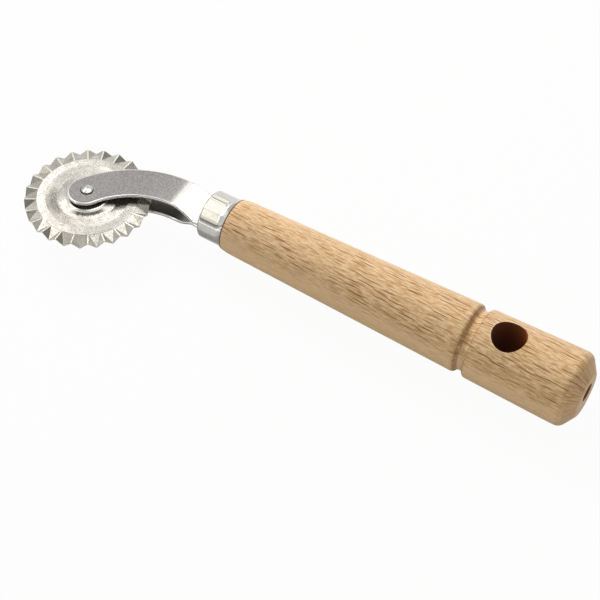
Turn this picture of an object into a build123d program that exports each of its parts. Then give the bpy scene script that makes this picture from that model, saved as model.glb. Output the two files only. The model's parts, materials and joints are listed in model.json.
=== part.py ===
from build123d import *
import math
import os

# Pastry cutter roller, millimetres. While building, X runs along the handle from the axle to the butt,
# the handle axis is Y = Z = 0 and the axle is parallel to Z. The whole is set down at the end.

# Wheel
TIP_RADIUS = 19.0
TOOTH_COUNT = 24
TOOTH_PHASE = 6.3
TIP_HALF = 1.05
ROOT_RADIUS = 15.3
ROOT_HALF = 0.75
EDGE_THICKNESS = 0.3
RIDGE_FLAT = 0.42
ROOT_STEP = 0.15
BEAD_RADIUS = 12.6
BEAD_HALF = 1.15
BEAD_FALL = 0.05
BEAD_ROUND = 1.0
WEB_HALF = 0.45
WEB_RISE = 0.045
HUB_RADIUS = 6.5
HUB_HALF = 1.4
HUB_EDGE = 0.25
HUB_FOOT = 0.45
BOSS_RADIUS = 4.0
BOSS_HALF = 2.3

# Rivet
SHANK_RADIUS = 1.5
WHEEL_CLEARANCE = 0.06
ARM_CLEARANCE = 0.02
HEAD_RADIUS = 2.05
HEAD_HEIGHT = 0.8
CLENCH_RADIUS = 2.3
CLENCH_HEIGHT = 0.7

# Fork arms
ARM_WIDTH = 10.8
ARM_THICKNESS = 1.1
SIDE_GAP = 0.3
AXLE_DROP = 14.6
FORK_OFFSET = 0.4
ARM_CURVE = 29.0
ARM_OVERHANG = 0.6
CRANK_START = 27.0
CRANK_END = 31.4
CRANK_RADIUS = 9.0
TANG_BEND_RADIUS = 3.0
TANG_WIDTH = 12.0
TANG_END = 86.0
TANG_TIP = 5.0

# Ferrule
FERRULE_RADIUS = 7.5
FERRULE_LENGTH = 8.55
FERRULE_WALL = 0.5
FERRULE_EDGE = 0.9
MOUTH_RADIUS = 8.05
MOUTH_LENGTH = 2.3
SLOT_CLEARANCE = 0.1
SPIGOT_CLEARANCE = 0.03

# Handle
HANDLE_FRONT = 42.65
HANDLE_LENGTH = 115.15
FRONT_RADIUS = 8.39
FRONT_EASE = 3.5
FRONT_EDGE = 0.2
BUTT_RADIUS = 11.2
BUTT_LEVEL = 6.8
SHOULDER_FROM_BUTT = 3.13
SHOULDER_ROUND = 2.75
BUTT_FACE = 6.45
BUTT_ROUND = 2.2
CENTRE_HOLE_RADIUS = 2.7
CENTRE_HOLE_DEPTH = 9.0
CENTRE_HOLE_RISE = 1.4
GROOVE_FROM_BUTT = 34.9
GROOVE_DEPTH = 1.35
GROOVE_RADIUS = 1.6
GROOVE_LIP = 1.0
HANG_FROM_BUTT = 24.6
HANG_RADIUS = 5.0
HANG_TURN = 4.3

# How far a cutting shape stands past what it cuts
CUT_MARGIN = 1.0

# Sizes that follow from the ones above
ARM_INNER = BOSS_HALF + SIDE_GAP
ARM_OUTER = ARM_INNER + ARM_THICKNESS
ARM_DROP = AXLE_DROP - FORK_OFFSET
ARM_TANGENT = math.sqrt(2 * ARM_DROP * ARM_CURVE - ARM_DROP ** 2)
FERRULE_FRONT = HANDLE_FRONT - FERRULE_LENGTH
SPIGOT_RADIUS = FERRULE_RADIUS - FERRULE_WALL - SPIGOT_CLEARANCE
BUTT_X = HANDLE_FRONT + HANDLE_LENGTH
LEVEL_X = BUTT_X - BUTT_LEVEL
TAPER = (BUTT_RADIUS - FRONT_RADIUS) / (LEVEL_X - HANDLE_FRONT)
GROOVE_X = BUTT_X - GROOVE_FROM_BUTT
HANG_X = BUTT_X - HANG_FROM_BUTT
AXLE = Pos(0, -AXLE_DROP, 0)
SET_DOWN = Pos((TIP_RADIUS - BUTT_X) / 2, (AXLE_DROP + TIP_RADIUS - BUTT_RADIUS) / 2, BUTT_RADIUS)


def wheel_disc():
    """Boss, hub, dished web and rounded bead of the wheel: one half turned about the axle, then mirrored."""
    bore = SHANK_RADIUS + WHEEL_CLEARANCE
    bead_edge = ROOT_HALF + ROOT_STEP
    hub_top = (HUB_RADIUS, HUB_HALF)
    hub_foot = (HUB_RADIUS, WEB_HALF)
    crest = (BEAD_RADIUS, BEAD_HALF)
    face = make_face([
        Polyline((bore, 0), (bore, BOSS_HALF), (BOSS_RADIUS, BOSS_HALF), (BOSS_RADIUS, HUB_HALF),
                 hub_top, hub_foot),
        TangentArc(hub_foot, crest, tangent=(1, WEB_RISE)),
        TangentArc(crest, (ROOT_RADIUS, bead_edge), tangent=(1, -BEAD_FALL)),
        Polyline((ROOT_RADIUS, bead_edge), (ROOT_RADIUS, 0), (bore, 0)),
    ])
    for corner, radius in ((hub_top, HUB_EDGE), (hub_foot, HUB_FOOT), (crest, BEAD_ROUND)):
        face = fillet(face.vertices().sort_by_distance(corner)[0], radius)
    half = revolve(Plane.XZ * face, Axis.Z)
    return half + mirror(half, Plane.XY)


def tooth_ring():
    """The plain ring that the teeth are cut from. It widens outwards, so each ridge rises to its point."""
    inner = BEAD_RADIUS
    ring = make_face(Polyline(
        (inner, -ROOT_HALF), (ROOT_RADIUS, -ROOT_HALF), (TIP_RADIUS, -TIP_HALF), (TIP_RADIUS, TIP_HALF),
        (ROOT_RADIUS, ROOT_HALF), (inner, ROOT_HALF), close=True))
    return revolve(Plane.XZ * ring, Axis.Z)


def tooth_notch():
    """The wedge taken out between two ridges: two walls and a floor that meet at one point on the rim."""
    turn = math.pi / TOOTH_COUNT
    along = Vector(math.cos(turn), -math.sin(turn), 0)
    across = Vector(math.sin(turn), math.cos(turn), 0) * (RIDGE_FLAT / 2)
    root = along * ROOT_RADIUS + across + Vector(0, 0, ROOT_HALF)
    tip = along * TIP_RADIUS + across + Vector(0, 0, TIP_HALF)
    point = Vector(TIP_RADIUS, 0, EDGE_THICKNESS - TIP_HALF)
    wall = (tip - root).cross(point - root)
    top = TIP_HALF + CUT_MARGIN
    out = TIP_RADIUS + CUT_MARGIN
    inner = point + (root - point) * ((top - point.Z) / (root.Z - point.Z))
    outer_y = -(wall.X * (out - point.X) + wall.Z * (top - point.Z)) / wall.Y
    outer = Vector(out, outer_y, top)
    valley = Vector(out, 0, point.Z - wall.X * (out - point.X) / wall.Z)
    inner_m = Vector(inner.X, -inner.Y, inner.Z)
    outer_m = Vector(outer.X, -outer.Y, outer.Z)
    loops = [
        (inner, inner_m, point),
        (inner, point, valley, outer),
        (inner_m, point, valley, outer_m),
        (inner, outer, outer_m, inner_m),
        (outer, valley, outer_m),
    ]
    return Solid(Shell([Face(Wire.make_polygon(loop)) for loop in loops]))


def cutting_wheel():
    """Ridges on the two faces are half a pitch apart, so the rim runs in a zigzag between them."""
    pitch = 360 / TOOTH_COUNT
    near = tooth_notch()
    far = mirror(near, Plane.XY)
    cuts = [Rot(0, 0, (k + 0.5) * pitch) * near for k in range(TOOTH_COUNT)]
    cuts += [Rot(0, 0, k * pitch) * far for k in range(TOOTH_COUNT)]
    return AXLE * Rot(0, 0, TOOTH_PHASE) * (tooth_ring() - cuts + wheel_disc())


def axle_rivet():
    """A plain shank with a domed head on the near arm and a clenched head on the far one."""
    edges = [
        ThreePointArc(*dome_points(CLENCH_RADIUS, CLENCH_HEIGHT, -1)),
        Polyline((CLENCH_RADIUS, -ARM_OUTER), (SHANK_RADIUS, -ARM_OUTER), (SHANK_RADIUS, ARM_OUTER),
                 (HEAD_RADIUS, ARM_OUTER)),
        ThreePointArc(*dome_points(HEAD_RADIUS, HEAD_HEIGHT, 1)),
        Line((0, -ARM_OUTER - CLENCH_HEIGHT), (0, ARM_OUTER + HEAD_HEIGHT)),
    ]
    return AXLE * revolve(Plane.XZ * make_face(edges), Axis.Z)


def dome_points(radius, height, side):
    """Three points on the section of a domed head: rim, halfway up and crown."""
    ball = (radius ** 2 + height ** 2) / (2 * height)
    half = math.asin(radius / ball) / 2
    middle = (ball * math.sin(half), height - ball * (1 - math.cos(half)))
    points = [(radius, 0), middle, (0, height)]
    return [(r, side * (ARM_OUTER + z)) for r, z in points]


def arm_plan():
    """Plan of a fork arm: round at the axle, an even strip on one arc, then a tang that widens to the ferrule
    and tapers to its end inside the handle."""
    centre = (ARM_TANGENT, -ARM_CURVE - FORK_OFFSET)
    half = ARM_WIDTH / 2
    end = 180 - math.degrees(math.asin((ARM_CURVE - ARM_DROP) / ARM_CURVE) - ARM_OVERHANG / ARM_CURVE)
    reach = math.radians(end)
    round_at = (centre[0] + ARM_CURVE * math.cos(reach), centre[1] + ARM_CURVE * math.sin(reach))
    wide = TANG_WIDTH / 2
    tang = [(ARM_TANGENT, half), (FERRULE_FRONT, wide), (HANDLE_FRONT, wide), (TANG_END, TANG_TIP / 2)]
    tang += [(x, -y) for x, y in reversed(tang)]
    return make_face([
        CenterArc(centre, ARM_CURVE + half, 90, end - 90),
        CenterArc(round_at, half, end, 180),
        CenterArc(centre, ARM_CURVE - half, 90, end - 90),
        Polyline(*[(x, y - FORK_OFFSET) for x, y in tang]),
    ])


def arm_side():
    """Side view of the front arm: flat beside the hub, then cranked in to the middle plane as the tang."""
    bend = math.atan2(ARM_INNER, CRANK_END - CRANK_START)
    shift = ARM_THICKNESS / 2 * math.tan(bend / 2)
    start = -ARM_WIDTH
    stop = TANG_END + CUT_MARGIN
    outside = [(CRANK_START + shift, ARM_OUTER), (CRANK_END + shift, ARM_THICKNESS)]
    inside = [(CRANK_END - shift, 0), (CRANK_START - shift, ARM_INNER)]
    face = make_face(Polyline((start, ARM_OUTER), *outside, (stop, ARM_THICKNESS),
                              (stop, 0), *inside, (start, ARM_INNER), close=True))
    half = ARM_THICKNESS / 2
    rounds = (CRANK_RADIUS + half, TANG_BEND_RADIUS - half, TANG_BEND_RADIUS + half, CRANK_RADIUS - half)
    for corner, radius in zip(outside + inside, rounds):
        face = fillet(face.vertices().sort_by_distance(corner)[0], radius)
    return Plane.XZ * face


def fork_arm():
    """The front arm, cut from the plan to the side view, with its rivet hole."""
    plan = extrude(arm_plan(), ARM_OUTER + CUT_MARGIN, both=True)
    side = extrude(arm_side(), ARM_CURVE, both=True)
    hole = AXLE * Cylinder(SHANK_RADIUS + ARM_CLEARANCE, 4 * ARM_OUTER)
    return (plan & side) - hole


def ferrule():
    """A drawn cup with a rounded front edge, a flared mouth and a slot for the two arms."""
    inner = FERRULE_RADIUS - FERRULE_WALL
    floor = FERRULE_FRONT + FERRULE_WALL
    rim = (FERRULE_FRONT, FERRULE_RADIUS)
    flare = (HANDLE_FRONT - MOUTH_LENGTH, FERRULE_RADIUS)
    mouth = (HANDLE_FRONT, MOUTH_RADIUS)
    face = make_face([
        TangentArc(flare, mouth, tangent=(1, 0)),
        Polyline(mouth, (HANDLE_FRONT, inner), (floor, inner), (floor, 0), (FERRULE_FRONT, 0), rim, flare),
    ])
    face = fillet(face.vertices().sort_by_distance(rim)[0], FERRULE_EDGE)
    cup = revolve(face, Axis.X)
    slot = Box(4 * FERRULE_WALL, TANG_WIDTH + 2 * SLOT_CLEARANCE, 2 * (ARM_THICKNESS + SLOT_CLEARANCE))
    return cup - Pos(FERRULE_FRONT, -FORK_OFFSET, 0) * slot


def handle():
    """Turned handle: spigot, straight taper, groove and shouldered butt, with two holes and the tang slot."""
    spigot = FERRULE_FRONT + FERRULE_WALL
    front = (HANDLE_FRONT, MOUTH_RADIUS)
    eased = (HANDLE_FRONT + FRONT_EASE, FRONT_RADIUS + TAPER * FRONT_EASE)
    shoulder = (BUTT_X - SHOULDER_FROM_BUTT, BUTT_RADIUS)
    end = (BUTT_X, BUTT_FACE)
    face = make_face([
        Polyline(eased, (LEVEL_X, BUTT_RADIUS), shoulder, end, (BUTT_X, 0), (spigot, 0),
                 (spigot, SPIGOT_RADIUS), (HANDLE_FRONT, SPIGOT_RADIUS), front),
        TangentArc(eased, front, tangent=(-1, -TAPER)),
    ])
    surface = FRONT_RADIUS + TAPER * (GROOVE_X - HANDLE_FRONT)
    face -= Pos(GROOVE_X, surface - GROOVE_DEPTH + GROOVE_RADIUS) * Circle(GROOVE_RADIUS)
    for corner, radius in ((front, FRONT_EDGE), (shoulder, SHOULDER_ROUND), (end, BUTT_ROUND)):
        face = fillet(face.vertices().sort_by_distance(corner)[0], radius)
    face = fillet(face.vertices().sort_by_distance((GROOVE_X, surface))[:2], GROOVE_LIP)
    body = revolve(face, Axis.X)
    slot = extrude(arm_plan(), ARM_THICKNESS, both=True)
    hang = Pos(HANG_X, 0, 0) * Rot(HANG_TURN, 0, 0) * Cylinder(HANG_RADIUS, 4 * BUTT_RADIUS)
    drill = Rot(0, 90, 0) * Cylinder(CENTRE_HOLE_RADIUS, 2 * CENTRE_HOLE_DEPTH)
    return body - slot - hang - Pos(BUTT_X, 0, CENTRE_HOLE_RISE) * drill


front_arm = fork_arm()
parts = {
    "cutting_wheel": cutting_wheel(),
    "axle_rivet": axle_rivet(),
    "front_fork_arm": front_arm,
    "back_fork_arm": mirror(front_arm, Plane.XY),
    "ferrule": ferrule(),
    "handle": handle(),
}

os.makedirs("parts", exist_ok=True)
for name, shape in parts.items():
    export_step(SET_DOWN * shape, f"parts/{name}.step")
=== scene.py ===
# %% [markdown]
# # A pastry cutter, dressed around its CAD frame
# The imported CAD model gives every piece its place, in metres. This lesson keeps that frame as it is and
# gives the pieces their looks: a cast wheel with a zigzag rim, a satin steel fork, a bright ferrule and a
# beech handle.

# %% Load the frame
import json
import math

import bmesh
import bpy
from mathutils import Matrix, Vector


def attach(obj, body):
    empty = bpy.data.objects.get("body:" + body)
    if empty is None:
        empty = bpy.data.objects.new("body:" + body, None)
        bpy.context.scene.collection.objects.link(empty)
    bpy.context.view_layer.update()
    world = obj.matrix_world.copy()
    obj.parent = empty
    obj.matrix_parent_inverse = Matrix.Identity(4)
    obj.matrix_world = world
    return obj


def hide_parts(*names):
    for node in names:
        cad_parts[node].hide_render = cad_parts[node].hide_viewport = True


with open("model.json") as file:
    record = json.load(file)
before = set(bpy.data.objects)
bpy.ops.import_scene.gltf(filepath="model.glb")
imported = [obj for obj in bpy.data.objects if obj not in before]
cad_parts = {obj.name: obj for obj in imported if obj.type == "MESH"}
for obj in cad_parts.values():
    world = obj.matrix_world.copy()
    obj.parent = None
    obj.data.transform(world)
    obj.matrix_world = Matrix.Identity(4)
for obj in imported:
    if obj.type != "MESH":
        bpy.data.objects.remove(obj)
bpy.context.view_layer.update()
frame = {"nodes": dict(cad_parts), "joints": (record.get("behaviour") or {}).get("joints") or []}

MM = 0.001
AXLE = Vector(frame["joints"][0]["pos_m"])
print("nodes", sorted(frame["nodes"]), "axle", tuple(AXLE))

# %% [markdown]
# ## Camera
# The view was worked out from the tooth points and the turned rings of the handle, so the eye's place,
# the line of sight and the lens are known. A camera in Blender looks along its own -Z, so the line of
# sight becomes a turn with `to_track_quat`, and the small tilt of the horizon is one more turn about that
# line.

# %% Camera
EYE = Vector((146.0, -243.8, 363.7)) * MM
SIGHT = Vector((-0.3139, 0.5363, -0.7835))
TILT = math.radians(1.65)
LENS = 94.49
SENSOR = 36.0
NEAREST = 10 * MM


def place_camera():
    camera = bpy.data.objects.new("camera", bpy.data.cameras.new("camera"))
    camera.data.lens = LENS
    camera.data.sensor_width = SENSOR
    camera.data.clip_start = NEAREST
    turn = SIGHT.to_track_quat("-Z", "Y").to_matrix() @ Matrix.Rotation(TILT, 3, "Z")
    camera.matrix_world = Matrix.Translation(EYE) @ turn.to_4x4()
    bpy.context.scene.collection.objects.link(camera)
    bpy.context.scene.camera = camera
    return camera


camera = place_camera()
bpy.context.scene.view_settings.view_transform = "Standard"
print("camera at", tuple(round(x, 4) for x in camera.location))

# %% [markdown]
# ## A pen for shader trees
# A finish is a small calculation: a pattern, a mask, a colour. Node by node that is long to read, so one
# class wraps a socket and lets Python's own signs add the Math nodes. Every other node comes from its one
# method, `node`, which sets the node's choices first and then its sockets.


# %% Signal class
class Signal:
    """An output of a node tree that can be used in sums. Without a socket it is the tree's starting point."""

    def __init__(self, tree, socket=None):
        self.tree = tree
        self.socket = socket

    def node(self, kind, settings=None, inputs=None, output=0):
        made = self.tree.nodes.new(kind)
        for name, value in (settings or {}).items():
            setattr(made, name, value)
        for name, value in (inputs or {}).items():
            if isinstance(value, Signal):
                self.tree.links.new(value.socket, made.inputs[name])
            else:
                made.inputs[name].default_value = value
        return Signal(self.tree, made.outputs[output])

    def out(self, name):
        """Another output of the same node."""
        return Signal(self.tree, self.socket.node.outputs[name])

    def math(self, operation, *values):
        return self.node("ShaderNodeMath", {"operation": operation}, dict(enumerate(values)))

    def vector(self, operation, *values):
        return self.node("ShaderNodeVectorMath", {"operation": operation}, dict(enumerate(values)))

    def __add__(self, other):
        return self.math("ADD", self, other)

    def __radd__(self, other):
        return self.math("ADD", other, self)

    def __sub__(self, other):
        return self.math("SUBTRACT", self, other)

    def __rsub__(self, other):
        return self.math("SUBTRACT", other, self)

    def __mul__(self, other):
        return self.math("MULTIPLY", self, other)

    def __rmul__(self, other):
        return self.math("MULTIPLY", other, self)

    def __truediv__(self, other):
        return self.math("DIVIDE", self, other)

    def __rtruediv__(self, other):
        return self.math("DIVIDE", other, self)

    def __pow__(self, other):
        return self.math("POWER", self, other)

    def step(self, low, high):
        """Smooth 0 to 1 while the signal goes from low to high. Low may be the larger of the two."""
        return self.node("ShaderNodeMapRange", {"interpolation_type": "SMOOTHSTEP"},
                         {"Value": self, "From Min": low, "From Max": high})

    def blend(self, first, second):
        """Colour between first and second, with this signal as the share of the second."""
        return self.node("ShaderNodeMix", {"data_type": "RGBA"}, {0: self, 6: first, 7: second}, 2)


print("signal class ready")


# %% Colours and finishes
def rgb(red, green, blue):
    """An sRGB colour, 0 to 255 as a paint program gives it, as Blender's linear colour."""
    linear = []
    for level in (red, green, blue):
        share = level / 255
        linear.append(share / 12.92 if share <= 0.04045 else ((share + 0.055) / 1.055) ** 2.4)
    return (*linear, 1.0)


def new_finish(name):
    """An empty material, the starting point of its tree and its principled shader."""
    material = bpy.data.materials.new(name)
    material.use_nodes = True
    shader = next(n for n in material.node_tree.nodes if n.type == "BSDF_PRINCIPLED")
    return material, Signal(material.node_tree), shader


def plug(signal, shader, name):
    signal.tree.links.new(signal.socket, shader.inputs[name])


def metal_all_over(shader):
    shader.inputs["Metallic"].default_value = 1.0


def uneven(start, shader, height, strength, depth):
    """Small rises and hollows that only the light shows, with their depth in millimetres."""
    bump = start.node("ShaderNodeBump", {}, {"Height": height, "Strength": strength, "Distance": depth * MM})
    plug(bump, shader, "Normal")


print("one grey as Blender mixes it", rgb(128, 128, 128))


# %% Places and patterns
def millimetres(start, centre=(0, 0, 0)):
    """Object coordinates in millimetres, counted from a centre given in metres."""
    coords = start.node("ShaderNodeTexCoord", output="Object")
    shifted = start.vector("SUBTRACT", coords, tuple(centre))
    return start.node("ShaderNodeVectorMath", {"operation": "SCALE"}, {0: shifted, "Scale": 1 / MM})


def split(start, vector):
    """The X of a vector. Its Y and Z are the signal's other outputs."""
    return start.node("ShaderNodeSeparateXYZ", {}, {"Vector": vector}, "X")


def stretched(start, place, scale):
    """A place with each axis scaled: a small scale draws a pattern out along that axis."""
    return start.node("ShaderNodeMapping", {}, {"Vector": place, "Scale": scale})


def noise(start, place, scale, detail, roughness=0.5):
    """Cloudy noise, about a half on average. A larger scale gives a finer grain."""
    return start.node("ShaderNodeTexNoise", {},
                      {"Vector": place, "Scale": scale, "Detail": detail, "Roughness": roughness})


def band(signal, low, high, soft):
    """1 between low and high, 0 outside, with soft edges."""
    return signal.step(low - soft, low + soft) * signal.step(high + soft, high - soft)


def mirror_rays(start):
    """The light path: 1 for rays from the camera, and beside it 1 for rays that metal or glass sends on."""
    path = start.node("ShaderNodeLightPath", output="Is Camera Ray")
    return path, path.out("Is Glossy Ray") + path.out("Is Transmission Ray")


print("patterns ready")

# %% [markdown]
# ## Floor
# The scene is a bright studio picture, white below and all round, so the floor is a plain white sheet.
# Seen by the camera it is mixed with pure white: it looks like the white page and still takes a soft
# shadow. For mirror rays the sheet glows with painted levels of its own, since polished metal mirrors it:
# painted light to the left of the wheel, pale behind the tool, greyer in front and a painted shadow under it.

# %% Floor
FLOOR_SIZE = 3.0
PAPER = 0.96
PAPER_GREY = 0.74
PAPER_ROUGHNESS = 0.9
MIRROR_SHARE = 0.75
FRONT_LEVEL = 0.62
BACK_LEVEL = 0.88
NEAR_SHADOW_LEVEL = 0.30
LEFT_FRONT_LEVEL = 1.30
LEFT_BACK_LEVEL = 0.78

# Where the levels change over, in millimetres: sideways at the wheel's left edge, and in depth
WHEEL_EDGE = (-92, -84)
FRONT_TO_BACK = (-10, 15)
LEFT_FRONT_TO_BACK = (-6, 10)
UNDER_TOOL = (-8, 6)
UNDER_SOFT = 4


def paper_level(start):
    """Painted brightness of the sheet as metal mirrors it, with a painted shadow right under the tool."""
    side = split(start, start.node("ShaderNodeTexCoord", output="Object"))
    depth = side.out("Y") / MM
    level = FRONT_LEVEL + (BACK_LEVEL - FRONT_LEVEL) * depth.step(*FRONT_TO_BACK)
    # Painted shadow: the mirrored sheet is dim right under the tool
    level = level + band(depth, *UNDER_TOOL, UNDER_SOFT) * (NEAR_SHADOW_LEVEL - level)
    left = LEFT_FRONT_LEVEL + (LEFT_BACK_LEVEL - LEFT_FRONT_LEVEL) * depth.step(*LEFT_FRONT_TO_BACK)
    return left + (side / MM).step(*WHEEL_EDGE) * (level - left)


def paper_finish():
    material, start, shader = new_finish("studio_paper")
    shader.inputs["Base Color"].default_value = (PAPER_GREY, PAPER_GREY, PAPER_GREY, 1)
    shader.inputs["Roughness"].default_value = PAPER_ROUGHNESS
    seen, mirrored = mirror_rays(start)
    level = paper_level(start)
    level = level + seen * (1 - level)
    grey = start.node("ShaderNodeCombineColor", {}, {"Red": level, "Green": level, "Blue": level})
    white = start.node("ShaderNodeEmission", {}, {"Color": grey, "Strength": 1.0})
    lit = Signal(start.tree, shader.outputs[0])
    share = seen * PAPER + mirrored * MIRROR_SHARE
    mixed = start.node("ShaderNodeMixShader", {}, {0: share, 1: lit, 2: white})
    output = next(n for n in start.tree.nodes if n.type == "OUTPUT_MATERIAL")
    plug(mixed, output, "Surface")
    return material


def make_floor():
    half = FLOOR_SIZE / 2
    mesh = bpy.data.meshes.new("floor")
    corners = [(-half, -half, 0), (half, -half, 0), (half, half, 0), (-half, half, 0)]
    mesh.from_pydata(corners, [], [(0, 1, 2, 3)])
    mesh.materials.append(paper_finish())
    floor = bpy.data.objects.new("floor", mesh)
    bpy.context.scene.collection.objects.link(floor)


make_floor()
print("floor", FLOOR_SIZE, "m wide")

# %% [markdown]
# ## The room that metal mirrors
# Wood shows the lamp, and bright metal shows the room. The world therefore answers two kinds of rays in
# two ways: a soft even light for matt surfaces, and for mirror rays a plain room hung with boards. Pale
# panels and strips hang overhead and on the left, dark flags between them, a bright card on the right,
# and the right wall and the front are dim. A direction is split into its sideways part x and its angle
# about the handle's axis, counted from the back over the top. A later board in the list covers an earlier
# one, and a level of 1 is white.

# %% Room
AMBIENT = 0.455
AMBIENT_TINT = (1.0, 0.97, 0.80, 1)
PANEL_TINT = (1.0, 0.985, 0.93, 1)
FRONT_TINT = (1.0, 0.95, 0.87, 1)
WHITE = (1, 1, 1, 1)
ROOM = 0.55
SOFT_ANGLE = 1.5

# Each board: its name, its sides, how soft they are, its back and front in degrees, and its level
BOARDS = (
    ("low back", -0.72, 0.22, 0.03, -20, 24, 0.82),
    ("high left wall", -1.2, -0.72, 0.03, 68, 112, 0.82),
    ("left wall", -1.2, -0.67, 0.05, -20, 68, 0.52),
    ("dim front", -1.2, 1.2, 0.03, 163, 270, 0.40),
    ("far left front", -1.2, -0.72, 0.03, 112, 163, 0.68),
    ("low left strip", -0.66, -0.50, 0.04, 24, 46, 0.95),
    ("left strip", -0.66, -0.50, 0.04, 46, 66, 1.60),
    ("high left strip", -0.72, -0.50, 0.03, 66, 106, 1.35),
    ("left front", -0.72, -0.50, 0.03, 106, 162, 0.64),
    ("high grey", -0.364, -0.16, 0.012, 50, 110, 0.60),
    ("inner web light", -0.364, -0.05, 0.02, 73, 92, 1.05),
    ("fan light", -0.24, 0.02, 0.03, 62, 84, 1.50),
    ("low grey", -0.364, -0.04, 0.012, 24, 48, 0.48),
    ("camera left", -0.33, 0.20, 0.05, 115, 155, 0.38),
    ("camera side", 0.20, 0.60, 0.06, 104, 155, 0.15),
    ("front rail", -0.66, -0.20, 0.02, 162, 170, 0.18),
    ("front panel", -0.50, -0.33, 0.02, 110, 162, 0.85),
    ("edge light", -0.50, -0.396, 0.008, 118, 150, 2.20),
    ("top panel", -0.50, -0.364, 0.012, 27, 115, 1.33),
    ("back flag", -0.50, -0.394, 0.012, 27, 44, 0.62),
    ("flag", -0.51, -0.394, 0.010, 52, 63, 0.56),
    ("low flag", -0.455, -0.335, 0.010, 46.5, 53, 0.32),
    ("bend light", -0.372, -0.20, 0.008, 54, 58, 1.10),
    ("ramp to the card", -0.23, 0.50, 0.13, 46, 60, 1.80),
    ("tang glint", -0.391, -0.380, 0.004, 52, 58, 1.70),
    ("rim light", -0.68, -0.44, 0.02, 94, 112, 2.40),
    ("right low", 0.42, 1.2, 0.05, -20, 45, 0.14),
    ("right wall", 0.50, 1.2, 0.04, 45, 66, 0.12),
    ("card", -0.02, 0.50, 0.04, 55, 92, 1.80),
    ("arch light", 0.02, 0.27, 0.02, 95, 109, 2.10),
)


def light_world():
    world = bpy.data.worlds.new("studio")
    bpy.context.scene.world = world
    world.use_nodes = True
    start = Signal(world.node_tree)
    ground = next(n for n in world.node_tree.nodes if n.type == "BACKGROUND")
    side = split(start, start.node("ShaderNodeTexCoord", output="Generated"))
    angle = start.math("ARCTAN2", side.out("Z"), side.out("Y")) * math.degrees(1)
    room = ROOM
    masks = {}
    for name, left, right, soft, back, front, level in BOARDS:
        masks[name] = band(side, left, right, soft) * band(angle, back, front, SOFT_ANGLE)
        room = room + masks[name] * (level - room)
    seen, mirrored = mirror_rays(start)
    level = AMBIENT + mirrored * (room - AMBIENT)
    plug(level + seen * (1 - level), ground, "Strength")
    tint = masks["top panel"].blend(WHITE, PANEL_TINT)
    tint = masks["front panel"].blend(tint, FRONT_TINT)
    plug(seen.blend(mirrored.blend(AMBIENT_TINT, tint), WHITE), ground, "Color")


light_world()
print("room level", ROOM, "boards", len(BOARDS))

# %% [markdown]
# ## Lamp
# One square soft lamp behind on the left gives the wood its light and shade. Metal would show it as a
# hard square, so mirror rays don't see it and find the boards of the room in its place.

# %% Lamp
KEY_TOWARD = Vector((-0.62, 0.42, 0.66))
KEY_DISTANCE = 0.9
KEY_SIZE = 0.4
KEY_POWER = 5.9


def add_lamp():
    data = bpy.data.lights.new("left_softbox", "AREA")
    data.size = KEY_SIZE
    data.energy = KEY_POWER
    lamp = bpy.data.objects.new("left_softbox", data)
    way = KEY_TOWARD.normalized()
    turn = (-way).to_track_quat("-Z", "Y").to_matrix().to_4x4()
    lamp.matrix_world = Matrix.Translation(way * KEY_DISTANCE) @ turn
    lamp.visible_glossy = False
    bpy.context.scene.collection.objects.link(lamp)
    return lamp


lamp = add_lamp()
print("lamp at", tuple(round(x, 3) for x in lamp.matrix_world.translation))

# %% [markdown]
# ## Wheel
# The wheel is a small casting: a boss and a chamfered hub, a thin web that falls from the hub as a
# shallow cone and rises again, a rounded bead and a rim of teeth. Each face has a ridge every 15 degrees,
# and the far face is half a pitch late, so the rim zigzags. A whole wheel could be turned and then cut 48
# times, but its shape follows a rule, so one slice of 15 degrees is written down point by point and
# Geometry Nodes repeats it round the axle. The slice holds one full notch of the near face and two halves
# of the far face. First comes the section of the disc.

# %% Wheel sizes
TEETH = 24
PITCH = 360 / TEETH
TOOTH_PHASE = 6.3
TIP_RADIUS = 19.0
TIP_HALF = 1.05
ROOT_RADIUS = 15.3
ROOT_HALF = 0.75
ROOT_STEP = 0.10
RIDGE_HALF = 0.21
VALLEY_Z = -0.75
BEAD = (12.6, 1.06)
BEAD_FALL = 0.05
BEAD_ROUND = 0.8
WEB_FOOT = 1.30
WEB_LOW = (9.25, 0.75)
WEB_LOW_ROUND = 0.5
WEB_RIM = (11.0, 0.88)
HUB_RADIUS = 6.5
HUB_HALF = 1.6
HUB_CHAMFER = (0.36, 0.145)
HUB_EDGE = 0.05
HUB_FOOT = 0.08
BOSS_RADIUS = 4.0
BOSS_HALF = 2.3
BORE = 1.56
print("teeth", TEETH, "pitch", PITCH, "degrees, wheel", 2 * TIP_RADIUS, "mm across")

# %% Section of the disc
ARC_STEPS = 10
CORNER_STEPS = 4
SUPPORT = 0.04


def arc(first, slope, last):
    """Points after the first on the arc that leaves it at a slope and ends at the last point."""
    across = last[0] - first[0]
    rise = last[1] - first[1]
    heading = math.atan(slope)
    half = math.atan2(rise, across) - heading
    radius = math.hypot(across, rise) / (2 * math.sin(half))
    points = []
    for k in range(1, ARC_STEPS + 1):
        turned = heading + 2 * half * k / ARC_STEPS
        points.append((first[0] + radius * (math.sin(turned) - math.sin(heading)),
                       first[1] - radius * (math.cos(turned) - math.cos(heading))))
    return points


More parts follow.
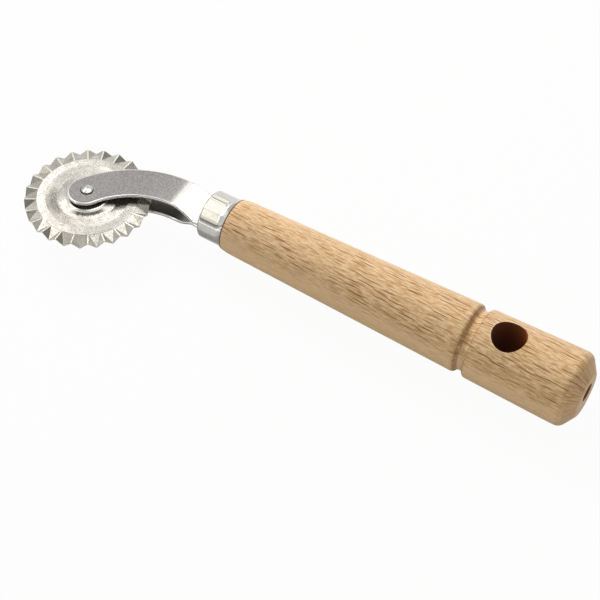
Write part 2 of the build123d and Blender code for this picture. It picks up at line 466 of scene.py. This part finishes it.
def rounded(points, corner, radius):
    """The same section with one corner rounded. A point beside each end of the arc keeps the flats flat."""
    k = points.index(corner)
    middle = Vector(corner)
    before = (Vector(points[k - 1]) - middle).normalized()
    after = (Vector(points[k + 1]) - middle).normalized()
    half = before.angle(after) / 2
    centre = middle + (before + after).normalized() * (radius / math.sin(half))
    first = before * (radius / math.tan(half)) + middle - centre
    last = after * (radius / math.tan(half)) + middle - centre
    # Between two vectors slerp gives a direction of length 1
    turned = [first.slerp(last, step / CORNER_STEPS) * radius + centre for step in range(CORNER_STEPS + 1)]
    turned = [turned[0] + before * SUPPORT] + turned + [turned[-1] + after * SUPPORT]
    return points[:k] + [tuple(point) for point in turned] + points[k + 1:]


def disc_profile():
    """Half section of boss, hub, web and bead, from the bore out to the foot of the teeth."""
    top = (HUB_RADIUS - HUB_CHAMFER[0], HUB_HALF)
    brow = (HUB_RADIUS, HUB_HALF - HUB_CHAMFER[1])
    foot = (HUB_RADIUS, WEB_FOOT)
    points = [(BORE, BOSS_HALF), (BOSS_RADIUS, BOSS_HALF), (BOSS_RADIUS, HUB_HALF)]
    points += [top, brow, foot, WEB_LOW, WEB_RIM]
    rise = (WEB_RIM[1] - WEB_LOW[1]) / (WEB_RIM[0] - WEB_LOW[0])
    points += arc(WEB_RIM, rise, BEAD)[:-1]
    points += [BEAD] + arc(BEAD, -BEAD_FALL, (ROOT_RADIUS, ROOT_HALF + ROOT_STEP))
    rounds = {top: HUB_EDGE, brow: HUB_EDGE, foot: HUB_FOOT, WEB_LOW: WEB_LOW_ROUND, BEAD: BEAD_ROUND}
    for corner, radius in rounds.items():
        points = rounded(points, corner, radius)
    return points


profile = disc_profile()
print("section points", len(profile))

# %% [markdown]
# ### One slice
# The slice is cut into stations by angle. Its points get names, so that each face can be written as a
# list of names and no number has to be counted. The ridge faces are marked 1 in an attribute and the
# notch faces -1, because on the real wheel the ridges are rubbed bright and the notches keep their dirt.

# %% Stations of the slice
HALF_PITCH = PITCH / 2
RIDGE_FOOT = math.degrees(math.asin(RIDGE_HALF / ROOT_RADIUS))
RIDGE_TIP = math.degrees(math.asin(RIDGE_HALF / TIP_RADIUS))
NOTCH_CUTS = (2.7, 4.7)
SAME_ANGLE = 0.01
FIRST_HALF = [0, RIDGE_FOOT, *NOTCH_CUTS, HALF_PITCH - RIDGE_FOOT]
STATIONS = FIRST_HALF + [HALF_PITCH] + [PITCH - degrees for degrees in reversed(FIRST_HALF)]
LAST = len(STATIONS) - 1
MIDDLE = LAST // 2


class SliceMaker:
    """Points that have names, and the faces between them."""

    def __init__(self):
        self.verts = []
        self.faces = []
        self.index = {}

    def put(self, key, radius, degrees, height):
        turn = math.radians(degrees)
        self.index[key] = len(self.verts)
        self.verts.append((radius * math.cos(turn) * MM, radius * math.sin(turn) * MM, height * MM))

    def face(self, *keys):
        self.faces.append([self.index[key] for key in keys])


print("stations", [round(degrees, 2) for degrees in STATIONS])


# %% Disc of the slice
def root_height(off):
    """Height at the foot of the teeth, at an angle from a notch's middle: its sloping floor, or the ridge."""
    if off > HALF_PITCH - RIDGE_FOOT - SAME_ANGLE:
        return ROOT_HALF
    half = math.radians(HALF_PITCH)
    edge = ROOT_RADIUS * math.cos(half) + RIDGE_HALF * math.sin(half)
    slope = (ROOT_HALF - VALLEY_Z) / (TIP_RADIUS - edge)
    return ROOT_HALF - slope * (ROOT_RADIUS * math.cos(math.radians(off)) - edge)


def add_disc(maker):
    """Bore, both faces of the disc and the step up to the foot of the teeth."""
    for k, degrees in enumerate(STATIONS):
        for side, sign in (("near", 1), ("far", -1)):
            for row, (radius, height) in enumerate(profile):
                maker.put((side, row, k), radius, degrees, sign * height)
        maker.put(("near_root", k), ROOT_RADIUS, degrees, root_height(abs(degrees - HALF_PITCH)))
        maker.put(("far_root", k), ROOT_RADIUS, degrees, -root_height(min(degrees, PITCH - degrees)))
    end = len(profile) - 1
    for k in range(LAST):
        maker.face(("near", 0, k), ("near", 0, k + 1), ("far", 0, k + 1), ("far", 0, k))
        for side in ("near", "far"):
            for row in range(end):
                maker.face((side, row, k), (side, row + 1, k), (side, row + 1, k + 1), (side, row, k + 1))
            root = side + "_root"
            maker.face((side, end, k), (root, k), (root, k + 1), (side, end, k + 1))


print("foot of the teeth from", ROOT_HALF, "to", round(root_height(0), 3), "mm")


# %% Teeth of the slice
def add_tips(maker):
    """The points on the rim: near ridges at both ends of the slice, one far ridge in its middle."""
    tips = {
        "near_start": (0, TIP_HALF),
        "near_start_side": (RIDGE_TIP, TIP_HALF),
        "near_valley": (HALF_PITCH, VALLEY_Z),
        "near_end_side": (PITCH - RIDGE_TIP, TIP_HALF),
        "near_end": (PITCH, TIP_HALF),
        "valley_start": (0, -VALLEY_Z),
        "far_side_before": (HALF_PITCH - RIDGE_TIP, -TIP_HALF),
        "far_ridge": (HALF_PITCH, -TIP_HALF),
        "far_side_after": (HALF_PITCH + RIDGE_TIP, -TIP_HALF),
        "valley_end": (PITCH, -VALLEY_Z),
    }
    for name, (degrees, height) in tips.items():
        maker.put(name, TIP_RADIUS, degrees, height)


def add_ridges(maker):
    maker.face(("near_root", 0), "near_start", "near_start_side", ("near_root", 1))
    maker.face(("near_root", LAST - 1), "near_end_side", "near_end", ("near_root", LAST))
    maker.face(("far_root", MIDDLE - 1), ("far_root", MIDDLE), "far_ridge", "far_side_before")
    maker.face(("far_root", MIDDLE), ("far_root", MIDDLE + 1), "far_side_after", "far_ridge")


def add_notches(maker):
    maker.face(("near_root", 1), "near_start_side", "near_valley")
    maker.face(*[("near_root", k) for k in range(LAST - 1, 0, -1)], "near_valley")
    maker.face(("near_root", LAST - 1), "near_valley", "near_end_side")
    maker.face(*[("far_root", k) for k in range(MIDDLE)], "valley_start")
    maker.face(("far_root", MIDDLE - 1), "far_side_before", "valley_start")
    maker.face(("far_root", MIDDLE + 1), "valley_end", "far_side_after")
    maker.face(*[("far_root", k) for k in range(MIDDLE + 1, LAST + 1)], "valley_end")


def add_cutting_edge(maker):
    maker.face("valley_start", "near_start_side", "near_start")
    maker.face("valley_start", "far_side_before", "near_valley", "near_start_side")
    maker.face("far_side_before", "far_ridge", "near_valley")
    maker.face("far_ridge", "far_side_after", "near_valley")
    maker.face("far_side_after", "valley_end", "near_end_side", "near_valley")
    maker.face("valley_end", "near_end", "near_end_side")


def wheel_slice():
    maker = SliceMaker()
    add_disc(maker)
    add_tips(maker)
    marks = [0.0] * len(maker.faces)
    for add, mark in ((add_ridges, 1.0), (add_notches, -1.0), (add_cutting_edge, 0.0)):
        add(maker)
        marks += [mark] * (len(maker.faces) - len(marks))
    mesh = bpy.data.meshes.new("wheel_slice")
    mesh.from_pydata(maker.verts, [], maker.faces)
    mesh.attributes.new("ridge", "FLOAT", "FACE").data.foreach_set("value", marks)
    return mesh


slice_mesh = wheel_slice()
print("slice faces", len(slice_mesh.polygons))

# %% [markdown]
# ### Cast metal
# The casting is grey metal, tumbled until it shines, so it mirrors the room softly. It is mottled: darker
# where the skin of the casting is left, browner where dough and damp have stained it, paler on worn ridges.
# A mottled ring beside the hub, on its lower side, is painted dark as shade, and so is a patch on the web's
# left. Noises of different grain make the mottling, and two of them in a bump give the skin its small pits.

# %% Cast metal finish
SKIN_DARK = rgb(206, 201, 190)
SKIN_LIGHT = rgb(250, 247, 240)
STAIN = rgb(176, 158, 132)
PIT = rgb(112, 106, 96)
WEB_SHADE = rgb(112, 106, 94)
HUB_SHADE = rgb(46, 43, 37)
NOTCH_DIRT = rgb(130, 123, 112)
WORN_RIDGE = rgb(250, 248, 240)

# Painted hub shade and web shade lie between two radii, on one side of the axle by its angle in degrees
HUB_SHADE_RING = (HUB_RADIUS + 0.9, HUB_RADIUS + 2.2)
HUB_SHADE_SIDE = 308
WEB_SHADE_RING = (8.8, 11.4)
WEB_SHADE_SIDE = 222
TEETH_FROM = (15.0, 15.5)


def toward(flat, reach, degrees):
    """1 on the ray from the axle at an angle, less to either side of it."""
    turn = math.radians(degrees)
    return (math.cos(turn) * flat + math.sin(turn) * flat.out("Y")) / reach


def cast_finish():
    material, start, shader = new_finish("cast_wheel")
    place = millimetres(start, AXLE)
    coarse = noise(start, place, 0.55, 5.0, 0.65)
    fine = noise(start, place, 2.6, 4.0, 0.7)
    grain = noise(start, place, 3.4, 2.0, 0.6)
    patch = (coarse * 0.35 + fine * 0.65).step(0.34, 0.62)
    pits = grain.step(0.44, 0.34) * coarse.step(0.58, 0.44)
    damp = noise(start, place, 0.32, 3.0).step(0.56, 0.74)
    skin = patch.blend(SKIN_DARK, SKIN_LIGHT)
    skin = (damp * 0.25).blend(skin, STAIN)
    skin = (pits * 0.6).blend(skin, PIT)

    flat = split(start, place)
    reach = (flat ** 2 + flat.out("Y") ** 2) ** 0.5
    # Painted shade: a darker, mottled patch on the left of the web
    web_shade = band(reach, *WEB_SHADE_RING, 0.8) * toward(flat, reach, WEB_SHADE_SIDE).step(0.80, 0.98)
    skin = (web_shade * (0.25 + 0.35 * fine.step(0.58, 0.42))).blend(skin, WEB_SHADE)
    # Painted shade: a dark mottled ring beside the hub, on its lower side
    hub_shade = band(reach + 1.2 * fine, *HUB_SHADE_RING, 0.3) * toward(flat, reach, HUB_SHADE_SIDE).step(0.70, 0.92)
    skin = (hub_shade * (0.75 + 0.25 * fine.step(0.6, 0.4))).blend(skin, HUB_SHADE)
    ridge = start.node("ShaderNodeAttribute", {"attribute_name": "ridge"}, {}, "Fac")
    skin = (ridge.step(-0.2, -1.0) * 0.3).blend(skin, NOTCH_DIRT)
    skin = (ridge.step(0.2, 1.0) * 0.8).blend(skin, WORN_RIDGE)

    plug(skin, shader, "Base Color")
    plug(0.11 + 0.06 * (1 - patch) + 0.15 * pits, shader, "Roughness")
    plug(0.88 + 0.08 * patch - 0.2 * reach.step(*TEETH_FROM), shader, "Metallic")
    uneven(start, shader, fine * 0.6 + grain * 0.4, 0.5, 0.06)
    return material


cast_metal = cast_finish()
print("finish", cast_metal.name)

# %% [markdown]
# ### The whole wheel
# The node tree sets one point for each tooth, turns a copy of the slice to each of them, joins the copies
# and moves the wheel to its axle. The result is made a plain mesh, and a thin Bevel softens its ridges,
# as tumbling does.

# %% Node tree for the wheel
JOIN_DISTANCE = 0.004 * MM


def wheel_tree(material):
    tree = bpy.data.node_groups.new("round_the_axle", "GeometryNodeTree")
    sockets = {}
    for name, kind in (("Slice", "NodeSocketGeometry"), ("Teeth", "NodeSocketInt"),
                       ("Phase", "NodeSocketFloat"), ("Axle", "NodeSocketVector")):
        sockets[name] = tree.interface.new_socket(name, in_out="INPUT", socket_type=kind).identifier
    tree.interface.new_socket("Wheel", in_out="OUTPUT", socket_type="NodeSocketGeometry")
    given = tree.nodes.new("NodeGroupInput")
    start = Signal(tree)

    def value(name):
        return Signal(tree, given.outputs[name])

    points = start.node("GeometryNodePoints", {}, {"Count": value("Teeth")})
    angle = start.node("GeometryNodeInputIndex") * (2 * math.pi) / value("Teeth") + value("Phase")
    turn = start.node("ShaderNodeCombineXYZ", {}, {"Z": angle})
    turn = start.node("FunctionNodeEulerToRotation", {}, {"Euler": turn})
    ring = start.node("GeometryNodeInstanceOnPoints", {},
                      {"Points": points, "Instance": value("Slice"), "Rotation": turn})
    whole = start.node("GeometryNodeRealizeInstances", {}, {"Geometry": ring})
    whole = start.node("GeometryNodeMergeByDistance", {}, {"Geometry": whole, "Distance": JOIN_DISTANCE})
    whole = start.node("GeometryNodeTransform", {}, {"Geometry": whole, "Translation": value("Axle")})
    whole = start.node("GeometryNodeSetMaterial", {}, {"Geometry": whole, "Material": material})
    result = tree.nodes.new("NodeGroupOutput")
    tree.links.new(whole.socket, result.inputs["Wheel"])
    return tree, sockets


tree, sockets = wheel_tree(cast_metal)
print("inputs of the tree", list(sockets))

# %% Wheel
WHEEL_SHARP = math.radians(28)
WORN_EDGE = 0.07
WORN_SEGMENTS = 2


def run_tree():
    """The tree's result as a plain mesh."""
    maker = bpy.data.objects.new("wheel_maker", slice_mesh)
    bpy.context.scene.collection.objects.link(maker)
    nodes = maker.modifiers.new("round_the_axle", "NODES")
    nodes.node_group = tree
    nodes[sockets["Teeth"]] = TEETH
    nodes[sockets["Phase"]] = math.radians(TOOTH_PHASE)
    nodes[sockets["Axle"]] = AXLE
    evaluated = maker.evaluated_get(bpy.context.evaluated_depsgraph_get())
    mesh = bpy.data.meshes.new_from_object(evaluated)
    maker.modifiers.remove(nodes)
    bpy.data.objects.remove(maker)
    return mesh


def point_outwards(mesh):
    shell = bmesh.new()
    shell.from_mesh(mesh)
    bmesh.ops.recalc_face_normals(shell, faces=shell.faces)
    print("open edges", sum(1 for e in shell.edges if len(e.link_faces) != 2))
    shell.to_mesh(mesh)
    shell.free()


def make_wheel():
    mesh = run_tree()
    point_outwards(mesh)
    mesh.shade_smooth()
    mesh.set_sharp_from_angle(angle=WHEEL_SHARP)
    wheel = bpy.data.objects.new("toothed_wheel", mesh)
    bpy.context.scene.collection.objects.link(wheel)
    edge = wheel.modifiers.new("worn_edges", "BEVEL")
    edge.width = WORN_EDGE * MM
    edge.segments = WORN_SEGMENTS
    edge.limit_method = "ANGLE"
    edge.angle_limit = WHEEL_SHARP
    edge.harden_normals = True
    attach(wheel, "wheel")
    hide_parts("cutting_wheel")
    return wheel


wheel = make_wheel()
print("wheel faces", len(wheel.data.polygons))

# %% [markdown]
# ## Fork arms
# The two arms are stamped from satin stainless strip. Stamping and tumbling leave the long edges rounded
# and bright, and that thin bright line is what makes the plate read as steel. The CAD solid has the right
# outline with square edges, so a copy of its mesh is merged and its long edges get a Bevel that carries
# its own, more polished finish. The faces turned to the wheel and the narrow sides are rougher and painted
# dark as shade, darkest on the near arm, and the bend beside the ferrule is painted near white as a
# highlight.

# %% Steel finishes
SATIN_DARK = rgb(183, 180, 182)
SATIN_LIGHT = rgb(223, 220, 222)
# Painted highlight: the bend beside the ferrule is coloured near white
BEND_HIGHLIGHT = rgb(252, 252, 250)
BEND_HIGHLIGHT_FROM = (-46.6, -44.8)
EDGE_DARK = rgb(236, 234, 232)
EDGE_LIGHT = rgb(254, 253, 251)


def satin_finish():
    material, start, shader = new_finish("satin_steel")
    place = millimetres(start)
    lines = noise(start, stretched(start, place, (0.25, 3.5, 3.5)), 1.6, 5.0, 0.7)
    cloud = noise(start, place, 0.22, 3.0)
    sand = noise(start, place, 2.4, 2.0, 0.6)
    tone = (lines * 0.5 + cloud * 0.5).step(0.36, 0.64)
    satin = (tone * 0.1 + sand.step(0.34, 0.66) * 0.9).blend(SATIN_DARK, SATIN_LIGHT)
    # Painted highlight on the bend beside the ferrule
    plug(split(start, place).step(*BEND_HIGHLIGHT_FROM).blend(satin, BEND_HIGHLIGHT), shader, "Base Color")
    plug(0.08 + 0.06 * lines, shader, "Roughness")
    metal_all_over(shader)
    uneven(start, shader, lines, 0.08, 0.02)
    return material


# Rough steel whose dark colour is painted shade, for the faces turned to the wheel and the sides
def shaded_inside_finish(name, dark, light):
    material, start, shader = new_finish(name)
    lines = noise(start, stretched(start, millimetres(start), (0.3, 2.5, 2.5)), 1.4, 5.0, 0.7)
    plug(lines.step(0.35, 0.65).blend(dark, light), shader, "Base Color")
    plug(0.26 + 0.14 * lines, shader, "Roughness")
    metal_all_over(shader)
    return material


def edge_finish():
    material, start, shader = new_finish("polished_edge")
    nicks = noise(start, millimetres(start), 1.8, 4.0, 0.7)
    plug(nicks.step(0.35, 0.6).blend(EDGE_DARK, EDGE_LIGHT), shader, "Base Color")
    plug(0.08 + 0.08 * nicks, shader, "Roughness")
    metal_all_over(shader)
    return material


satin_steel = satin_finish()
polished_edge = edge_finish()
# Painted shade: darkest on the near arm's hidden faces, lighter on the far arm's inner face
near_inside_shade = shaded_inside_finish("near_inside_painted_shade", rgb(74, 72, 68), rgb(104, 101, 96))
far_inside_shade = shaded_inside_finish("far_inside_painted_shade", rgb(140, 138, 132), rgb(172, 169, 164))
print("finishes", satin_steel.name, polished_edge.name, near_inside_shade.name, far_inside_shade.name)

# %% Long edges of an arm
RIVET_CLEAR = 3.0
FREE_UNTIL = -34.5
OUTLINE_SHARP = math.radians(40)
FLAT_JOIN = math.radians(0.6)
SAME_POINT = 0.002 * MM


def copy_solid(node):
    """The merged mesh of a CAD node, its flat faces joined up."""
    shell = bmesh.new()
    shell.from_mesh(frame["nodes"][node].data)
    bmesh.ops.remove_doubles(shell, verts=shell.verts, dist=SAME_POINT)
    bmesh.ops.dissolve_limit(shell, angle_limit=FLAT_JOIN, verts=shell.verts, edges=shell.edges)
    return shell


def long_edge(edge):
    """True for a sharp edge of the plate's outline, clear of the rivet and not behind the ferrule's front."""
    if len(edge.link_faces) != 2 or edge.calc_face_angle() < OUTLINE_SHARP:
        return False
    for vert in edge.verts:
        beside = (vert.co - AXLE).to_2d().length
        if beside < RIVET_CLEAR * MM or vert.co.x > FREE_UNTIL * MM:
            return False
    return True


print("edges are rounded up to x =", FREE_UNTIL, "mm")

# %% Arms with rounded edges
EDGE_ROUND = 0.50
EDGE_SEGMENTS = 4
ARM_SHARP = math.radians(30)
OUTSIDE, EDGE, INSIDE = 0, 1, 2
FACES_OUT = 0.5


def make_arm(name, node, inside):
    shell = copy_solid(node)
    outward = 1 if node == "front_fork_arm" else -1
    weight = shell.edges.layers.float.new("bevel_weight_edge")
    long_edges = [edge for edge in shell.edges if long_edge(edge)]
    for edge in long_edges:
        edge[weight] = 1.0
    for face in shell.faces:
        face.material_index = OUTSIDE if face.normal.z * outward >= FACES_OUT else INSIDE
    print(name, "edges rounded", len(long_edges))
    mesh = bpy.data.meshes.new(name)
    shell.to_mesh(mesh)
    shell.free()
    for material in (satin_steel, polished_edge, inside):
        mesh.materials.append(material)
    mesh.shade_smooth()
    mesh.set_sharp_from_angle(angle=ARM_SHARP)
    arm = bpy.data.objects.new(name, mesh)
    bpy.context.scene.collection.objects.link(arm)
    bevel = arm.modifiers.new("rounded_edges", "BEVEL")
    bevel.width = EDGE_ROUND * MM
    bevel.segments = EDGE_SEGMENTS
    bevel.limit_method = "WEIGHT"
    bevel.material = EDGE
    bevel.harden_normals = True
    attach(arm, "handle_and_fork")
    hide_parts(node)


make_arm("near_arm", "front_fork_arm", near_inside_shade)
make_arm("far_arm", "back_fork_arm", far_inside_shade)

# %% [markdown]
# ## Rivet and ferrule
# The rivet's head is polished by the tool that formed it, with a dark line where it meets the plate: a
# little dirt all round, and painted shade on its lower side. The ferrule is a drawn cup, plated and bright
# as a mirror, with small dark specks and the fine lines of turning. Their CAD solids are already the right
# shape, so they stay and take a finish. The patterns are read in millimetres, round the axle and along
# the handle.

# %% Rivet finish
HEAD_DARK = rgb(205, 204, 202)
HEAD_LIGHT = rgb(244, 243, 240)
# Dirt at the head's rim, and painted shade on its lower side
RIM_DIRT_AND_SHADE = rgb(40, 37, 33)
RIM_DARK_FROM = (1.72, 2.0)


def rivet_finish():
    material, start, shader = new_finish("rivet_head")
    place = millimetres(start, AXLE)
    hammer = noise(start, place, 1.1, 3.0)
    aside = split(start, place)
    reach = (aside ** 2 + aside.out("Y") ** 2) ** 0.5
    # Painted shade: the dark rim line is strongest on the head's lower side
    lower_shade = (0.35 * aside - 0.94 * aside.out("Y")).step(-1.2, 0.9)
    rim_dark = (reach + 0.3 * hammer).step(*RIM_DARK_FROM) * (0.25 + 0.75 * lower_shade)
    metal = hammer.step(0.3, 0.7).blend(HEAD_DARK, HEAD_LIGHT)
    plug(rim_dark.blend(metal, RIM_DIRT_AND_SHADE), shader, "Base Color")
    plug(0.2 + 0.3 * rim_dark, shader, "Roughness")
    metal_all_over(shader)
    uneven(start, shader, hammer, 0.5, 0.12)
    return material


def dress(node, material):
    mesh = frame["nodes"][node].data
    mesh.materials.clear()
    mesh.materials.append(material)
    print(node, "wears", material.name)


dress("axle_rivet", rivet_finish())

# %% Ferrule finish
HANDLE_AXIS = Vector((0, 11.2, 11.2)) * MM
PLATE_DARK = rgb(228, 226, 220)
PLATE_LIGHT = rgb(240, 238, 232)
SPECK = rgb(150, 140, 122)


def ferrule_finish():
    material, start, shader = new_finish("plated_ferrule")
    place = millimetres(start, HANDLE_AXIS)
    rub = noise(start, place, 0.9, 4.0)
    lines = noise(start, stretched(start, place, (6.0, 0.4, 0.4)), 1.5, 4.0)
    dots = start.node("ShaderNodeTexVoronoi", {}, {"Vector": place, "Scale": 2.2}, "Distance")
    specks = dots.step(0.22, 0.08) * rub.step(0.45, 0.58)
    plate = rub.step(0.35, 0.65).blend(PLATE_DARK, PLATE_LIGHT)
    plug((specks * 0.6).blend(plate, SPECK), shader, "Base Color")
    plug(0.07 + 0.06 * rub + 0.2 * specks, shader, "Roughness")
    metal_all_over(shader)
    uneven(start, shader, lines, 0.05, 0.02)
    return material


dress("ferrule", ferrule_finish())

# %% [markdown]
# ## Beech
# Beech is easy to know by its flecks: short dark dashes along the grain, where the wood's rays are cut
# through. The handle is turned from one straight piece, so its grain runs along X. A Voronoi pattern
# stretched along X gives one cell for each fleck, and its cell colour decides which of them show. Each
# row of cells starts half a cell later than the one before it, because rows that start together would
# bunch the flecks in bands. Flecks show most where the growth rings lie flat to the surface, and hardly
# at all a quarter turn away.

# %% Flecks and fibres
MEAN_RADIUS = 9.6
RING_FACE = math.radians(108)
STAGGER = 0.5
SCATTER = 0.7
DASH_EDGE = (0.27, 0.17)
GRAIN_SWAY = 0.9
WOOD_PINK = rgb(253, 219, 184)
WOOD_YELLOW = rgb(247, 213, 170)
FIBRE = rgb(206, 160, 110)

# Each kind of fleck: length and width of its cell in mm, seed, share of the cells, strength and colour
FLECKS = {
    "pale": (9.0, 0.50, 9.0, 0.60, 0.80, rgb(255, 228, 196)),
    "faint": (8.0, 0.46, 13.0, 0.60, 0.80, rgb(193, 145, 92)),
    "short": (7.0, 0.54, 5.0, 0.42, 0.80, rgb(150, 95, 38)),
    "long": (11.0, 0.66, 0.0, 0.45, 0.95, rgb(128, 74, 12)),
}


def flecks(start, along, girth, length, width, seed, share):
    """Dashes along the grain: about one for each of a share of the cells."""
    row = girth / width + seed
    place = start.node("ShaderNodeCombineXYZ", {}, {"X": along / length + STAGGER * row, "Y": row})
    cell = start.node("ShaderNodeTexVoronoi", {"voronoi_dimensions": "2D"},
                      {"Vector": place, "Scale": 1.0, "Randomness": SCATTER}, "Distance")
    chosen = start.node("ShaderNodeSeparateColor", {}, {"Color": cell.out("Color")}, "Red")
    return cell.step(*DASH_EDGE) * chosen.step(1 - share, 1 - 0.5 * share)


def grain_noise(start, place, scale, roughness=0.6):
    """Noise stretched along the grain."""
    return noise(start, stretched(start, place, scale), 1.0, 3.0, roughness)


def long_grain(start, place, along):
    """Colour of the turned side, the fibre noise, and the dashes of each kind."""
    around = start.math("ARCTAN2", along.out("Y"), along.out("Z")) * MEAN_RADIUS
    girth = around + GRAIN_SWAY * grain_noise(start, place, (0.06, 0.15, 0.15))
    woven = start.node("ShaderNodeCombineXYZ", {}, {"X": along, "Y": girth})
    rings = (along.out("Y") * math.cos(RING_FACE) + along.out("Z") * math.sin(RING_FACE)) / MEAN_RADIUS
    flat_to = start.math("ABSOLUTE", rings).step(0.40, 0.85)
    fibre = grain_noise(start, woven, (0.36, 2.1, 1.0), 0.7)
    wood = grain_noise(start, woven, (0.02, 0.25, 1.0)).step(0.3, 0.7).blend(WOOD_PINK, WOOD_YELLOW)
    wood = (fibre.step(0.37, 0.63) * (0.35 + 0.5 * flat_to)).blend(wood, FIBRE)
    dashes = {}
    for name, (length, width, seed, share, strength, colour) in FLECKS.items():
        dashes[name] = flecks(start, along, girth, length, width, seed, share) * (0.18 + flat_to * 0.72)
        wood = (dashes[name] * strength).blend(wood, colour)
    return wood, fibre, dashes


print("kinds of fleck", list(FLECKS))

# %% [markdown]
# ### Where the wood was cut
# The end of the butt is darker because it shows end grain, and the groove's left wall and a thin line on
# its far side are painted dark as shade. The hanging hole was drilled, which burns its wall a little and
# leaves its edge ragged on the side of the butt; its wall is also painted as shade, darker toward the
# ferrule, and its rim gets a painted highlight on the side of the light. The centre hole is painted a
# little darker as shade, and a thin dark line shows where the ferrule begins.

# %% Butt and groove
GROOVE_X = 53.5
GROOVE_WALL = (GROOVE_X - 1.5, GROOVE_X - 0.45)
GROOVE_LINE = (GROOVE_X + 1.6, GROOVE_X + 2.0)
SHOULDER = rgb(160, 112, 72)
END_GRAIN = rgb(172, 124, 82)
# Painted shade in the groove
GROOVE_SHADE = rgb(126, 86, 48)


def butt_and_groove(start, place, along, wood):
    end_on = split(start, start.node("ShaderNodeTexCoord", output="Normal"))
    pores = noise(start, place, 3.2, 2.0).step(0.5, 0.36)
    wood = (band(end_on, 0.20, 0.55, 0.15) * 0.15).blend(wood, SHOULDER)
    wood = (end_on.step(0.55, 0.8) * (0.2 + 0.4 * pores)).blend(wood, END_GRAIN)
    patchy = grain_noise(start, place, (0.6, 0.6, 0.6)).step(0.2, 0.6)
    # Painted shade: the groove's left wall and a thin line on its far side
    groove_shade = band(along, *GROOVE_WALL, 0.25) * 0.75 + band(along, *GROOVE_LINE, 0.2) * 0.7
    return (groove_shade * patchy * 0.75).blend(wood, GROOVE_SHADE)


print("groove at x =", GROOVE_X, "mm")

# %% Holes and joint
HOLE_X = 63.8
HOLE_RADIUS = 5.0
HOLE_LEAN = 0.0752
HOLE_RAGGED = 1.2
CENTRE_HOLE_RISE = 1.4
CENTRE_HOLE_RADIUS = 2.7
CENTRE_HOLE_FROM = (76.4, 77.4)
JOINT_LINE = (-26.25, -26.45)
BURNT_WALL_IN_SHADE = rgb(112, 66, 46)
# Burnt hole wall, painted darker toward the ferrule as shade
BURNT_WALL_LIT = rgb(170, 104, 58)
# Painted highlight on the hanging hole's rim
LIT_RIM = rgb(255, 236, 212)
# Painted shade inside the centre hole
CENTRE_HOLE_SHADE = rgb(170, 116, 74)
JOINT_DIRT = rgb(66, 46, 32)


def inside_of(radius):
    """Limits of a step from the wood outside a drilled wall to the wall itself."""
    return radius + 0.12, radius + 0.04


def holes_and_joint(start, place, along, wood):
    """The wood's colour with its holes, and the mask of the hanging hole's wall."""
    beyond = along - HOLE_X
    across = along.out("Y") + HOLE_LEAN * along.out("Z")
    reach = (beyond ** 2 + across ** 2) ** 0.5
    ragged = noise(start, place, 0.9, 4.0, 0.65).step(0.5, 0.8) * beyond.step(1.0, 4.0)
    inside = (reach - HOLE_RAGGED * ragged).step(*inside_of(HOLE_RADIUS))
    lit_side = (across * -0.6 - beyond * 0.8).step(-2.0, 2.0)
    # Painted highlight on the hole's rim on the side of the light
    wood = (band(reach, HOLE_RADIUS, HOLE_RADIUS + 0.4, 0.1) * lit_side * 0.45).blend(wood, LIT_RIM)
    # Burnt wall, painted darker toward the ferrule and lighter toward the butt as shade
    wood = inside.blend(wood, beyond.step(-3.0, 5.0).blend(BURNT_WALL_IN_SHADE, BURNT_WALL_LIT))
    centre = ((along.out("Z") - CENTRE_HOLE_RISE) ** 2 + along.out("Y") ** 2) ** 0.5
    # Painted shade inside the centre hole
    centre_hole_shade = centre.step(*inside_of(CENTRE_HOLE_RADIUS)) * along.step(*CENTRE_HOLE_FROM)
    wood = centre_hole_shade.blend(wood, CENTRE_HOLE_SHADE)
    wood = (along.step(*JOINT_LINE) * 0.85).blend(wood, JOINT_DIRT)
    return wood, inside


print("hanging hole at x =", HOLE_X, "mm")

# %% [markdown]
# ### The handle
# Bare turned wood has a faint sheen, so the shader gets a thin rough coat. Open pores and the drilled
# wall don't shine, and the coat is left off them. The fibres stand up a little and the dashes lie a
# little deeper.

# %% Beech finish
SHEEN = 0.25
SHEEN_ROUGHNESS = 0.3
BARE_SHINE = 0.3


def beech_finish():
    material, start, shader = new_finish("turned_beech")
    place = millimetres(start, HANDLE_AXIS)
    along = split(start, place)
    wood, fibre, dashes = long_grain(start, place, along)
    wood = butt_and_groove(start, place, along, wood)
    wood, inside = holes_and_joint(start, place, along, wood)
    open_pores = (dashes["long"] + dashes["short"]).step(0.0, 0.7)
    plug(wood, shader, "Base Color")
    plug(0.46 + 0.12 * fibre + 0.4 * inside, shader, "Roughness")
    plug((SHEEN - SHEEN * inside) * (1 - open_pores), shader, "Coat Weight")
    shader.inputs["Specular IOR Level"].default_value = BARE_SHINE
    shader.inputs["Coat Roughness"].default_value = SHEEN_ROUGHNESS
    uneven(start, shader, fibre * 0.5 - dashes["long"] * 0.3 - dashes["short"] * 0.2, 0.35, 0.06)
    return material


dress("handle", beech_finish())
